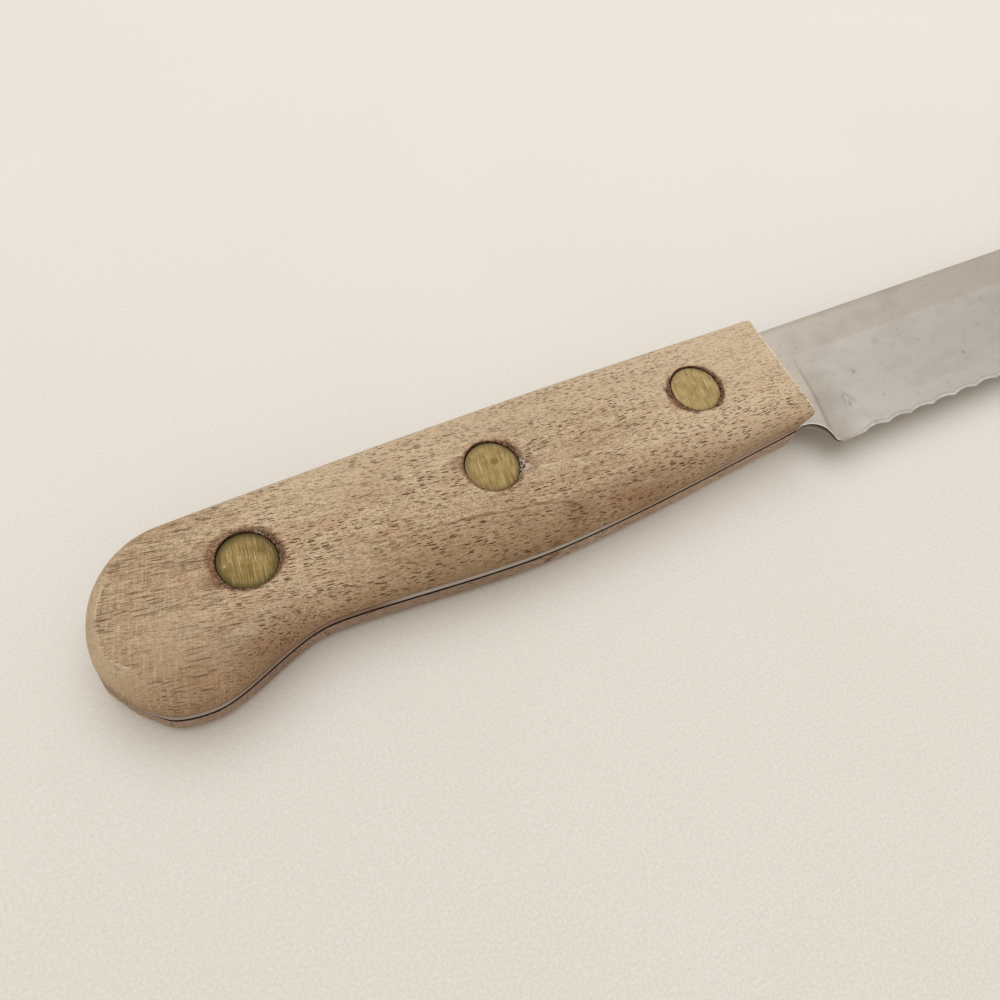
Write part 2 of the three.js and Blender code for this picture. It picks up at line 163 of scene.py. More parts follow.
# Grime round each rivet: the turn in degrees, the width packed dark there and the width stained
RIVET_GRIME = {
    "butt": (
        (-164, 0.9, 1.3), (-136, 0.8, 1.0), (-117, 0.35, 0.5), (-70, 0.2, 0.3),
        (-34, 0.6, 0.8), (-9, 0.9, 1.1), (16, 1.1, 1.4), (46, 0.9, 1.5),
        (76, 0.3, 0.9), (128, 0.15, 1.4), (152, 0.2, 1.6), (175, 0.4, 1.3),
    ),
    "middle": (
        (-119, 0.1, 0.3), (-69, 0.2, 0.4), (-24, 0.7, 1.2), (10, 0.8, 1.4),
        (34, 0.75, 1.1), (71, 0.15, 0.4), (120, 0.1, 0.4), (160, 0.1, 0.8),
    ),
    "front": (
        (-156, 1.6, 2.0), (-125, 0.9, 1.2), (-105, 0.2, 0.4), (-82, 0.3, 0.4),
        (-62, 0.8, 0.9), (-24, 0.7, 0.9), (19, 0.6, 0.8), (45, 0.45, 0.6),
        (72, 0.1, 0.2), (120, 0.1, 0.2), (146, 0.7, 0.9), (169, 1.5, 1.8),
    ),
}

# Blade
BLADE_LENGTH = 178
HEEL_SETBACK = 4.5
HEEL_RADIUS = 1
HEEL_DROP = 5.15
EDGE_DEPTH = FRONT_DEPTH + HEEL_DROP
TIP_DROP = 18.5
TIP_CUT = 0.12
SPINE_SWEEP = 58
EDGE_SWEEP = 32
SWEEP_PULL = 0.4
FLAT_BAND = 6.95
HALF_STEEL = 0.8
HALF_EDGE = 0.2
HOLLOW_SAG = 0.14
EDGE_TAPER = 0.12
SPINE_EASE = 0.2
PLUNGE_AT_EDGE = 3.2
PLUNGE_LEAN = 3.4
PLUNGE_FLARE = 1.2
PLUNGE_FLARE_FALL = 0.8
PLUNGE_CREASE = 0.3
PLUNGE_RUN = 8
SCALLOP_PITCH = 5.6
SCALLOP_DEPTH = 0.55
SCALLOP_BEVEL = 0.6
SCALLOP_STEPS = 16
SWEEP_STEPS = 60
PLAIN_HEEL_STEPS = 32
PLAIN_TIP_STEPS = 16
PLAIN_HEEL = 5.6
PLAIN_TIP = 7
PLAIN_BEVEL = 0.25
CHOIL_BEVEL = 0.2
CHOIL_STEPS = 32
HEEL_STEPS = 12
CHOIL_END = 5.6
# Painted shade at the foot of the choil's wall
CHOIL_FOOT_SHADE = 0.15
BLADE_MARKS = ("ground", "worn_edge", "wall", "tang")
# Edge of the tang, as rows of (height above its middle, inset, dirt and painted shade)
TANG_ROWS = ((0.8, 0, 0), (-0.4, 0, 0), (-0.45, 0.2, 1), (-0.8, 0.2, 1))

# Where those lie in the part's frame, in mm
FRONT_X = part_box("upper_scale")[1].x / MM
SPINE_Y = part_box("upper_scale")[0].y / MM + HOOK_DEPTH
UPPER_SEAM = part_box("upper_scale")[0].z / MM
LOWER_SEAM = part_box("lower_scale")[1].z / MM
TANG_MIDDLE = (UPPER_SEAM + LOWER_SEAM) / 2
KNIFE_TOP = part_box("upper_scale")[1].z / MM

# Colours as they are seen on a screen
WALNUT_COLOURS = {
    "dark_fibre": (140, 110, 82), "fibre": (193, 166, 132), "pale_fibre": (226, 203, 169),
    "reddish_streak": (186, 144, 108), "bleached_front": (224, 200, 167), "bleached_spine": (212, 188, 156),
    # The belly colour is painted shade; the two lower colours paint the lower scale's side darker and
    # pinker, as painted shade
    "dark_belly": (148, 108, 78), "lower_butt": (168, 143, 128), "lower_front": (190, 164, 147),
    "inside_ring": (136, 112, 76), "ring_line": (100, 66, 38), "dark_patch": (118, 78, 48),
    "fine_pore": (112, 68, 32), "short_pore": (70, 32, 4), "long_pore": (78, 42, 12),
    "sanded_pale": (218, 196, 164), "sanded_dark": (130, 102, 76), "rivet_stain": (120, 76, 50),
    # The two grime colours also paint the bores' walls, as dirt and painted shade
    "packed_grime": (70, 42, 28), "pale_grime": (156, 124, 98), "flake_gap": (62, 52, 40),
    "flake": (204, 193, 173), "rusty_spot": (158, 92, 56), "scuff": (200, 178, 148),
    "rubbed_butt": (208, 183, 150), "butt_bevel": (208, 185, 150), "spine_rim": (192, 174, 154),
    # The ridge and front-edge colours are pale wear with a painted highlight; the seam colour is dirt with
    # painted shade
    "ridge": (228, 209, 178), "front_edge": (246, 236, 216), "seam": (40, 23, 12),
}
BRASS_COLOURS = {
    "dark": (106, 85, 47), "plain": (150, 126, 81), "bright": (192, 168, 118),
    "scratch": (210, 188, 138), "dull_rim": (86, 78, 48), "dent": (108, 80, 38),
}
STEEL_COLOURS = {
    # The pale hollow colour is a painted sheen
    "flat_band": (206, 195, 181), "hollow": (206, 199, 189), "pale_hollow": (220, 214, 206),
    "cloud": (158, 145, 131), "grinding_line": (144, 137, 129), "speckle": (130, 114, 98),
    "stain": (120, 108, 98), "rust": (156, 120, 94), "tang_edge": (176, 165, 153),
    # The worn-edge colour is a painted highlight on the choil's edge and the scallops' bevels
    "wood_brown_hook": (118, 78, 40), "wood_brown_front": (158, 122, 90), "worn_edge": (248, 246, 242),
    # This dark colour is painted shade on the choil's wall, and dirt with painted shade along the tang's
    # seam
    "grime": (56, 30, 15),
}
TABLE_COLOURS = {"shaded": (222, 214, 201), "lit": (240, 234, 225)}
BACKDROP_COLOUR = (236, 229, 219)

# Marks on the wood: dark patches as (x, y, reach, stretch, strength), flakes of filler as
# (x, y, reach, strength), and other spots as (colour, x, y, full reach, reach, stretch, strength)
DARK_PATCHES = (
    (-37, -21, 3.8, 3.2, 0.3), (-48, -21.6, 3.4, 1.4, 0.35), (-98.5, -22.5, 6, 1.5, 0.3),
    (-62.4, -7.4, 2.2, 1, 0.45), (-51.8, -11.6, 2.2, 1, 0.4), (-102.3, -11.5, 2.4, 1, 0.4),
)
FLAKES = ((-52.9, -11.2, 1.9, 0.9), (-54.2, -12.9, 0.9, 0.5), (-93.8, -6.8, 1.3, 0.3))
WOOD_SPOTS = (
    ("rusty_spot", -23.7, -10.7, 0.2, 1.6, 1, 0.4),
    ("scuff", -35.1, -20.8, 0, 0.9, 1.6, 0.4),
    ("rubbed_butt", -109.5, -17.5, 1, 6, 1.4, 0.3),
)
# Edges of the wood, as (mark and colour, even share, patchy share), lowest layer first: the butt bevel and
# spine rim rubbed pale, the ridge and front edge rubbed pale with a painted highlight, and the seam dark
# with dirt and painted shade
EDGE_LAYERS = (
    ("butt_bevel", 0.55, 0), ("spine_rim", 0.55, 0), ("ridge", 0.25, 0.6),
    ("front_edge", 0.6, 0.4), ("seam", 1, 0),
)
# Marks on the metal: stains on the blade as (x, y, reach), and places of a rust spot and two dents
BLADE_STAINS = ((11.8, -18.8, 2.2), (16.8, -14, 1.0), (32, -17.7, 1.0), (41.8, -18.5, 1.0))
RUST_SPOT = (25.4, -9.7)
DENT = (-56.75, -8.8)
FAINT_DENT = (-57.95, -8.45)

# Light, table and camera
ROOM_COLOUR = (1, 0.955, 0.89, 1)
ROOM_STRENGTH = 0.54
LAMP_COLOUR = (0.881, 0.93, 1)
LAMP_ENERGY = 1.634
LAMP_SPREAD = 70
LAMP_TURN = (-16, -3, 0)
TABLE_HALF_SIZE = 12
TABLE_DROP = 0.02
CAMERA_PLACE = (-142.012, -58.878, 141.553)
CAMERA_TURN = (29.689, -9.4696, -27.6159)
CAMERA_LENS = 36
CAMERA_NEAREST = 10


def placed(x, y, z):
    """A point given from the front of the scales and the spine of the blade, in the part's frame."""
    return Vector((FRONT_X + x, SPINE_Y + y, z)) * MM


def mix(a, b, share):
    return a + (b - a) * share


def rising(value, low, high):
    """A smooth step from 0 at low to 1 at high."""
    t = min(max((value - low) / (high - low), 0), 1)
    return t * t * (3 - 2 * t)


def roughly(x, y, seed):
    """A smooth random number between about -1 and 1."""
    return noise.noise(Vector((x, y, seed * 7.3)))


def shares(count):
    """Equal steps up to 1, without 0."""
    return [step / count for step in range(1, count + 1)]


def turns(count):
    """Equal turns round a circle, in radians."""
    return [i / count * math.tau for i in range(count)]


def around(centre, radius, turn):
    """A place on a circle."""
    return centre[0] + radius * math.cos(turn), centre[1] + radius * math.sin(turn)


def turned(degrees):
    return Euler([math.radians(turn) for turn in degrees], "XYZ")


def bezier(controls, steps):
    """Points along a curve, without its first."""
    points = []
    for share in shares(steps):
        row = [Vector(point) for point in controls]
        while len(row) > 1:
            row = [a.lerp(b, share) for a, b in zip(row, row[1:])]
        points.append(row[0])
    return points


def handle_side(steps):
    """The handle from the front of its spine, round the butt and along the belly to the front."""
    butt = -HANDLE_LENGTH
    shoulder = butt + SHOULDER_FROM_BUTT
    front = -CORNER_RADIUS
    crown_pull = 2 * SPINE_CROWN - (SPINE_STEP - SHOULDER_DEPTH) / 2
    knots = [
        (shoulder, -SHOULDER_DEPTH),
        (butt, -BUTT_DEPTH),
        (butt + HOOK_FROM_BUTT, -HOOK_DEPTH),
        (butt + WAIST_FROM_BUTT, -WAIST_DEPTH),
        (-BELLY_FROM_FRONT, -BELLY_DEPTH),
        (front, -FRONT_DEPTH),
    ]
    points = [Vector((front, SPINE_STEP))]
    points += bezier([points[0], (shoulder / 2, crown_pull), knots[0]], steps)
    for start, end, pulls in zip(knots, knots[1:], HANDLE_PULLS):
        controls = [[mix(*way) for way in zip(start, end, pull)] for pull in pulls]
        points += bezier([start, *controls, end], steps)
    return points


def inward_at(loop, i):
    """The way into a closed loop that runs anticlockwise, at one of its points."""
    along = (loop[(i + 1) % len(loop)] - loop[i - 1]).normalized()
    return Vector((-along.y, along.x))


def with_worn_butt(loop, ways, piece):
    """The outline of a piece with the lower corner of its butt worn away."""
    corner = Vector(WORN_BUTT_CORNER)
    worn = []
    for at, way in zip(loop, ways):
        share = rising((at - corner).length, BUTT_WEAR_REACH, FULL_BUTT_WEAR_REACH)
        worn.append(at + way * BUTT_WEAR[piece] * share)
    return worn


def add_object(name, data):
    """A new object in the scene."""
    thing = bpy.data.objects.new(name, data)
    bpy.context.scene.collection.objects.link(thing)
    return thing


def add_mesh(name, mesh, finish):
    """A new object with a mesh and its finish."""
    data = bpy.data.meshes.new(name)
    mesh.to_mesh(data)
    mesh.free()
    data.materials.append(finish.material)
    return add_object(name, data)


class Shape:
    """The mesh of a piece while it is made, with marks of wear, dirt and painted light on its points."""

    def __init__(self, *marks):
        self.mesh = bmesh.new()
        self.marks = {mark: self.mesh.verts.layers.float.new(mark) for mark in marks}

    def point(self, x, y, z, **amounts):
        """A new point with its marks."""
        vert = self.mesh.verts.new(placed(x, y, z))
        for mark, amount in amounts.items():
            vert[self.marks[mark]] = amount
        return vert

    def join_rings(self, rings):
        """Joins each closed ring of points to the next one."""
        for low, high in zip(rings, rings[1:]):
            for i in range(len(low)):
                self.mesh.faces.new((low[i - 1], low[i], high[i], high[i - 1]))

    def join_rows(self, rows):
        """Joins each open row of points to the next one."""
        for high, low in zip(rows, rows[1:]):
            for i in range(len(high) - 1):
                self.mesh.faces.new((high[i], high[i + 1], low[i + 1], low[i]))

    def flat_face(self, *rings):
        """Fills a flat face that has an outline and holes."""
        edges = []
        for ring in rings:
            for pair in zip(ring, ring[1:] + ring[:1]):
                edges.append(self.mesh.edges.get(pair) or self.mesh.edges.new(pair))
        bmesh.ops.triangle_fill(self.mesh, use_beauty=True, edges=edges)

    def make_piece(self, name, finish, crease=CREASE):
        """Turns the mesh into an object that rides on the knife and stands for the solid of that name."""
        bmesh.ops.remove_doubles(self.mesh, verts=self.mesh.verts, dist=1e-7)
        bmesh.ops.recalc_face_normals(self.mesh, faces=self.mesh.faces)
        piece = add_mesh(name + "_look", self.mesh, finish)
        piece.data.shade_smooth()
        piece.data.set_sharp_from_angle(angle=math.radians(crease))
        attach(piece, "root")
        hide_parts(name)


class Value:
    """A number, colour or vector that changes over a surface. Sums written with numbers add Math nodes."""

    def __init__(self, nodes, socket):
        self.nodes = nodes
        self.socket = socket

    def maths(self, operation, *terms):
        return self.nodes.node("ShaderNodeMath", {"operation": operation}, dict(enumerate(terms)))

    def __add__(self, other):
        return self.maths("ADD", self, other)

    def __radd__(self, other):
        return self.maths("ADD", other, self)

    def __sub__(self, other):
        return self.maths("SUBTRACT", self, other)

    def __rsub__(self, other):
        return self.maths("SUBTRACT", other, self)

    def __mul__(self, other):
        return self.maths("MULTIPLY", self, other)

    def __rmul__(self, other):
        return self.maths("MULTIPLY", other, self)

    def root(self):
        return self.maths("POWER", self, 0.5)

    def at_least(self, other):
        return self.maths("MAXIMUM", self, other)

    def size(self):
        return self.maths("ABSOLUTE", self)

    def rising(self, low, high):
        """A smooth step from 0 at low to 1 at high."""
        settings = {"interpolation_type": "SMOOTHSTEP"}
        return self.nodes.node("ShaderNodeMapRange", settings, {0: self, 1: low, 2: high})

    def falling(self, low, high):
        """A smooth step from 1 at low to 0 at high."""
        return 1 - self.rising(low, high)

    def output(self, name):
        """Another output of the same node."""
        return Value(self.nodes, self.socket.node.outputs[name])


class Nodes:
    """The nodes of a material or of the room."""

    def __init__(self, owner):
        owner.use_nodes = True
        self.tree = owner.node_tree
        self.tree.nodes.clear()

    def node(self, kind, settings, sockets, output=0):
        """Adds a node with its settings, then the values or links of its sockets, and gives one output."""
        node = self.tree.nodes.new(kind)
        for key, value in settings.items():
            if key == "stops":
                self.set_stops(node.color_ramp.elements, value)
            else:
                setattr(node, key, value)
        for key, value in sockets.items():
            if isinstance(value, Value):
                self.tree.links.new(value.socket, node.inputs[key])
            else:
                node.inputs[key].default_value = value
        return Value(self, node.outputs[output]) if node.outputs else None

    @staticmethod
    def set_stops(elements, stops):
        while len(elements) < len(stops):
            elements.new(1)
        for element, (position, colour) in zip(elements, stops):
            element.position = position
            element.color = colour


def linear(level):
    """The strength of light that a screen's level from 0 to 255 stands for."""
    share = level / 255
    return share / 12.92 if share < 0.0405 else ((share + 0.055) / 1.055) ** 2.4


def shade(colour):
    """A colour as it is seen on a screen, for a socket."""
    return tuple(linear(level) for level in colour) + (1,)


class Finish(Nodes):
    """A material, its named colours, and its base as it is painted so far."""

    def __init__(self, name, slot, colours):
        self.slot = slot
        self.material = bpy.data.materials.new(name)
        self.colours = {key: shade(colour) for key, colour in colours.items()}
        self.base = None
        super().__init__(self.material)

    def place(self):
        """Millimetres from the front of the scales, the spine of the blade and the table."""
        here = self.node("ShaderNodeTexCoord", {}, {}, "Object")
        return self.vector("MULTIPLY_ADD", here, (1 / MM,) * 3, (-FRONT_X, -SPINE_Y, 0))

    def vector(self, operation, *terms, output=0):
        return self.node("ShaderNodeVectorMath", {"operation": operation}, dict(enumerate(terms)), output)

    def parts(self, vector):
        x = self.node("ShaderNodeSeparateXYZ", {}, {0: vector})
        return x, x.output("Y"), x.output("Z")

    def joined(self, x, y, z):
        return self.node("ShaderNodeCombineXYZ", {}, {0: x, 1: y, 2: z})

    def noise(self, vector, scale, detail=2, rough=0.5):
        """A random number between about 0 and 1, with a scale for each axis."""
        scaled = self.vector("MULTIPLY", vector, scale)
        sockets = {"Vector": scaled, "Scale": 1, "Detail": detail, "Roughness": rough}
        return self.node("ShaderNodeTexNoise", {}, sockets)

    def waver(self, *terms):
        """A random number about 0, from the same terms."""
        return self.noise(*terms) - 0.5

    def spot(self, flat, place, low, high, stretch=1):
        """A soft round mark in plan, 1 up to low from its middle and 0 beyond high."""
        offset = self.vector("SUBTRACT", flat, (*place, 0))
        scaled = self.vector("MULTIPLY", offset, (1 / stretch, 1, 0))
        return self.vector("LENGTH", scaled, output="Value").falling(low, high)

    def mix(self, share, a, b):
        return self.node("ShaderNodeMix", {"data_type": "RGBA"}, {0: share, 6: a, 7: b}, 2)

    def between(self, share, a, b):
        """A mix of two of the finish's colours."""
        return self.mix(share, self.colours[a], self.colours[b])

    def paint(self, share, colour):
        """Lays one of the finish's colours, or a mix, over its base."""
        over = colour if isinstance(colour, Value) else self.colours[colour]
        self.base = self.mix(share, self.base, over)

    def ramp(self, tone, *stops):
        """The finish's colours along a tone."""
        settings = {"stops": [(position, self.colours[colour]) for position, colour in stops]}
        return self.node("ShaderNodeValToRGB", settings, {0: tone})

    def attribute(self, name):
        return self.node("ShaderNodeAttribute", {"attribute_name": name}, {}, "Fac")

    def bump(self, height, depth):
        """A normal from a height of 0 to 1 that stands for a depth in millimetres."""
        return self.node("ShaderNodeBump", {}, {"Distance": depth * MM, "Height": height}, "Normal")

    def surface(self, sockets):
        """Gives the material its base and the other values of its shader."""
        shader = self.node("ShaderNodeBsdfPrincipled", {}, {"Base Color": self.base, **sockets})
        self.node("ShaderNodeOutputMaterial", {}, {"Surface": shader})


class Walnut(Finish):
    """Faded open-pored walnut, stained round the rivets and worn at its edges, with painted shade towards
    the belly, on the lower scale and in the seam and bores, and painted highlights on the ridge and front
    edge.
    """

    def __init__(self):
        super().__init__("faded_walnut", "wood", WALNUT_COLOURS)
        here = self.place()
        self.x, self.y, self.z = self.parts(here)
        self.flat = self.joined(self.x, self.y, 0)
        bow = (self.x + 60) * (self.x + 60) * 0.0006
        self.grain = self.joined(self.x, self.y + self.x * 0.11 - bow, self.z)
        self.butt_end = self.x.falling(-112, -94)
        self.patches = self.streaks(20, 6)
        self.fibres = self.streaks(2.6, 0.24, 3, 0.6)
        self.fuzz = self.waver(here, (5.5,) * 3, 3, 0.7)
        self.specks = self.noise(here, (3.2,) * 3, 3, 0.7)
        self.crumbs = self.noise(here, (1.8,) * 3, 3, 0.6)
        self.grime = self.attribute("grime")
        self.dress()

    def dress(self):
        """Lays the colours over one another, and sets the surface."""
        self.lay_fibres()
        self.fade()
        self.mark_rings()
        pits = self.mark_pores()
        scratches = self.sand_butt()
        self.soil()
        self.wear_edges()
        height = 0.6 - pits * 0.5 + self.fibres * 0.25 + scratches * 0.15 + self.fuzz * 0.2
        normal = self.bump(height - self.grime * self.specks * 0.5, 0.3)
        rough = 0.7 + self.fuzz * 0.2
        self.surface({"Roughness": rough, "Specular IOR Level": 0.06, "Normal": normal})

    def streaks(self, length, width, *terms):
        """A random number about 0, in streaks along the grain."""
        return self.waver(self.grain, (1 / length, 1 / width, 1 / width), *terms)

    def lay_fibres(self):
        """The wood's bands, patches and fibres, from dark to pale."""
        bands = self.streaks(46, 1.6, 3) * (1 - self.butt_end * 0.8)
        tone = 0.52 - self.butt_end * 0.08 + bands * 0.34 + self.fibres * 0.75 + self.patches * 0.3
        tone = tone + self.fuzz * (1.5 - self.butt_end * 0.6)
        self.base = self.ramp(tone, (0.2, "dark_fibre"), (0.5, "fibre"), (0.8, "pale_fibre"))

    def fade(self):
        """Reddish streaks, a bleached front and spine, painted shade towards the belly, and painted shade on
        the lower scale's side, darker and pinker.
        """
        reddish = self.streaks(9, 2.4).rising(-0.05, 0.2)
        self.paint(reddish * 0.35, "reddish_streak")
        self.paint(self.x.rising(-44, -6) * 0.55, "bleached_front")
        near_spine = self.y.rising(-10, -1) * self.x.rising(-96, -80)
        self.paint(near_spine * 0.6, "bleached_spine")
        under = self.z.falling(LOWER_SEAM - 0.2, LOWER_SEAM)
        # Painted shade, darker towards the belly and on its rounded edge, less on the lower scale
        low = (self.y * -1 + self.patches * 12).rising(13, 24).at_least(self.attribute("belly"))
        self.paint(low * (1 - under * 0.7) * 0.5, "dark_belly")
        # Painted shade on the lower scale's side, darker and pinker, most at the butt
        lower_shade_tone = self.between(self.x.rising(-70, -40), "lower_butt", "lower_front")
        self.paint(under * 0.8, lower_shade_tone)

    def inside_ring(self):
        """Distance inside the tongue-shaped growth ring below the middle rivet, in mm."""
        wander = self.waver(self.grain, (0.16, 0.3, 0.3), 3) * 1.5
        behind_tip = (self.x * -1 - 47.5).at_least(0)
        return behind_tip.root() * 1.17 - (self.y + 21.3).size() + wander

    def mark_rings(self):
        """The growth ring, darker inside, and the dark patches."""
        inside = self.inside_ring()
        near_ring = self.x.rising(-88, -70) * self.x.falling(-48, -46)
        broken = self.streaks(2.5, 0.8).rising(-0.2, 0.1)
        self.paint(inside.rising(-0.3, 1.2) * near_ring * 0.25, "inside_ring")
        line = inside.size().falling(0, 0.45) * near_ring * broken
        self.paint(line * 0.65, "ring_line")
        for x, y, reach, stretch, strength in DARK_PATCHES:
            patch = self.spot(self.flat, (x, y), 0.5, reach, stretch)
            self.paint(patch * strength, "dark_patch")

    def pores(self, length, width, seed):
        """Pores along the grain: how dark each place is, from 0 to 1."""
        shifted = self.vector("ADD", self.grain, (seed, seed * 1.7, seed * 0.6))
        cells = self.vector("MULTIPLY", shifted, (1 / length, 1 / width, 1 / width))
        distance = self.node("ShaderNodeTexVoronoi", {}, {"Vector": cells, "Scale": 1, "Randomness": 1})
        chance = self.node("ShaderNodeSeparateColor", {}, {0: distance.output("Color")})
        reach = 0.185 + chance * 0.2
        return (reach - distance).rising(0, 0.04) * (0.7 + chance.output("Green") * 0.3)

    def mark_pores(self):
        """Fine, short and long pores, thinned out in places, and how deep they pit the surface."""
        spread = self.streaks(11, 3.2, 1).rising(-0.22, 0.06)
        near_front = self.x.rising(-32, -12) * self.y.rising(-16, -8)
        thinned = (0.26 + spread * 0.78) * (1 - self.butt_end * 0.7)
        thinned = thinned * (1 - near_front * 0.65) * (1 - self.y.rising(-9, -2) * 0.25)
        in_rows = self.streaks(12, 3, 1).rising(-0.06, 0.02)
        short_pores = self.pores(1.75, 0.24, 0) * thinned
        fine_pores = self.pores(1.0, 0.19, 31)
        long_pores = self.pores(5.0, 0.26, 57) * in_rows * (0.25 + self.butt_end * 0.6)
        self.paint(fine_pores * 0.42, "fine_pore")
        self.paint(short_pores, "short_pore")
        self.paint(long_pores, "long_pore")
        return short_pores * 0.7 + long_pores * 0.5 + fine_pores * 0.25

    def sand_butt(self):
        """Leaning scratches from coarse sanding at the butt, and their depth."""
        leaning = self.joined(self.x - self.y * 0.35, self.y, self.z)
        scratches = self.butt_end * self.waver(leaning, (5, 0.3, 0.3), 2, 0.6)
        self.paint((scratches * 1.2).at_least(0), "sanded_pale")
        self.paint((scratches * -1.2).at_least(0), "sanded_dark")
        return scratches

    def soil(self):
        """Stain and packed dirt round the rivets, painted shade on the bores' walls where the gap round each
        head shows, flakes of filler and single spots.
        """
        stained = self.attribute("stain") * (0.5 + self.crumbs.rising(0.4, 0.6) * 0.4)
        self.paint(stained, "rivet_stain")
        # The grime mark also covers the bores' walls, so this paints dirt and, in the gap round each head,
        # painted shade
        dirt = self.between(self.specks.rising(0.42, 0.62), "packed_grime", "pale_grime")
        self.paint((self.grime + (self.specks - 0.5) * 1.4).rising(0.2, 0.9), dirt)
        for x, y, reach, strength in FLAKES:
            flaking = self.spot(self.flat, (x, y), 0.3, reach) * strength
            self.paint(flaking * self.crumbs.falling(0.44, 0.5) * 0.85, "flake_gap")
            self.paint(flaking * self.crumbs.rising(0.48, 0.53), "flake")
        for colour, x, y, low, high, stretch, strength in WOOD_SPOTS:
            self.paint(self.spot(self.flat, (x, y), low, high, stretch) * strength, colour)

    def wear_edges(self):
        """Edges rubbed pale, with a painted highlight on the ridge and front edge, and dirt with painted
        shade along the seam.
        """
        patchy = self.streaks(4, 4).rising(-0.12, 0.1)
        for mark, even, uneven in EDGE_LAYERS:
            self.paint(self.attribute(mark) * (even + patchy * uneven), mark)


def brass():
    """Brass sanded flat with the wood, scratched across the handle, dull and greenish at the rim, and
    painted brighter towards the front of the handle as painted light.
    """
    metal = Finish("sanded_brass", "brass", BRASS_COLOURS)
    here = metal.place()
    x, y, _ = metal.parts(here)
    leaning = metal.joined(x - y * 0.19, y, 0)
    fine = metal.waver(leaning, (8, 0.28, 0), 3, 0.65)
    broad = metal.waver(leaning, (2.2, 0.12, 0))
    cloud = metal.waver(here, (0.6,) * 3)
    wander = metal.waver(leaning, (2.6, 0.1, 0), 1)
    scratch = wander.size().falling(0.004, 0.02) * cloud.rising(-0.12, 0.1)
    rim = metal.attribute("rim")
    # Painted light: the tone rises towards the front, standing in for the light that the three heads reflect
    tone = 0.455 + fine * 1.4 + broad * 0.25 + cloud * 0.4 + (x + 70) * 0.0033
    metal.base = metal.ramp(tone, (0.22, "dark"), (0.5, "plain"), (0.78, "bright"))
    metal.paint(scratch * 0.65, "scratch")
    metal.paint((rim + cloud * rim).rising(0, 1.1) * 0.8, "dull_rim")
    ragged = metal.waver(here, (2.5,) * 3)
    uneven = metal.joined(x + ragged * 0.7, y - ragged * 0.5, 0)
    dent = metal.spot(uneven, DENT, 0.5, 0.62)
    faint_dent = metal.spot(uneven, FAINT_DENT, 0.1, 0.5)
    metal.paint(dent * 0.55 + faint_dent * 0.35, "dent")
    height = fine * 0.5 + broad * 0.2 + 0.5 - scratch * 0.3 - dent * 0.6 - faint_dent * 0.3
    normal = metal.bump(height, 0.05)
    rough = 0.5 + fine * 0.3 + rim * 0.15
    metal.surface({"Metallic": 1.0, "Roughness": rough, "Normal": normal})
    return metal


def stain_blade(metal, here, flat):
    """Specks, a few stains and a rust spot on the blade."""
    speckle = metal.noise(here, (0.75, 0.6, 0.6), 4, 0.65).rising(0.57, 0.76)
    metal.paint(speckle * 0.35, "speckle")
    blotch = metal.noise(here, (1.6, 0.7, 1), 3, 0.7).rising(0.46, 0.6)
    for x, y, reach in BLADE_STAINS:
        metal.paint(metal.spot(flat, (x, y), 0.2, reach) * blotch * 0.5, "stain")
    metal.paint(metal.spot(flat, RUST_SPOT, 0.1, 1.3) * 0.25, "rust")


def tang_edge(metal, x, y, cloud):
    """The tang's bare edge, brown like the wood towards the hook and the front."""
    wood_brown_hook = x.falling(-84, -76) * (0.45 + x.rising(-107, -103) * 0.55)
    covered = (wood_brown_hook + x.rising(-48, -36)) * y.falling(-14, -10)
    wood_brown = metal.between(x.rising(-76, -48), "wood_brown_hook", "wood_brown_front")
    return metal.mix(covered * (0.85 + cloud), metal.colours["tang_edge"], wood_brown)


def steel():
    """Satin steel, warmer along the unground band, with faint stains and fine scratches, a painted sheen on
    the hollow, painted highlights on the choil's edge and the scallops, and painted shade on the choil's
    wall and along the tang's seam.
    """
    metal = Finish("satin_steel", "steel", STEEL_COLOURS)
    here = metal.place()
    x, y, _ = metal.parts(here)
    flat = metal.joined(x, y, 0)
    cloud = metal.waver(here, (0.09, 0.16, 0.1), 3)
    lines = metal.waver(here, (0.3, 9, 9), 2, 0.6)
    cross = metal.waver(here, (7, 0.35, 0.35), 2, 0.6)
    # worn is the painted highlight on the choil's edge and the scallops' bevels; wall carries painted shade
    ground, worn, wall, tang = [metal.attribute(mark) for mark in BLADE_MARKS]
    metal.base = metal.between(ground, "flat_band", "hollow")
    # Painted sheen: the hollow painted paler towards the grind line and the edge
    metal.paint(ground * (y + 15).size().rising(2, 8) * 0.3, "pale_hollow")
    metal.paint((cloud * 1.6).at_least(0), "cloud")
    metal.paint((lines * 0.7).at_least(0), "grinding_line")
    stain_blade(metal, here, flat)
    metal.paint(tang, tang_edge(metal, x, y, cloud))
    # Painted highlight on the choil's edge and the scallops' bevels, pale and made less metallic below
    metal.paint(worn, "worn_edge")
    # Painted shade on the choil's wall and at its foot, and dirt with painted shade along the tang's seam
    metal.paint(wall * 0.95, "grime")
    metallic = 0.88 - tang.at_least(worn) * 0.68
    rough = 0.4 + cloud * 0.2 + lines * 0.1 + wall * 0.4
    normal = metal.bump(lines * 0.5 + cross * 0.5, 0.012)
    metal.surface({"Metallic": metallic, "Roughness": rough, "Normal": normal})
    return metal


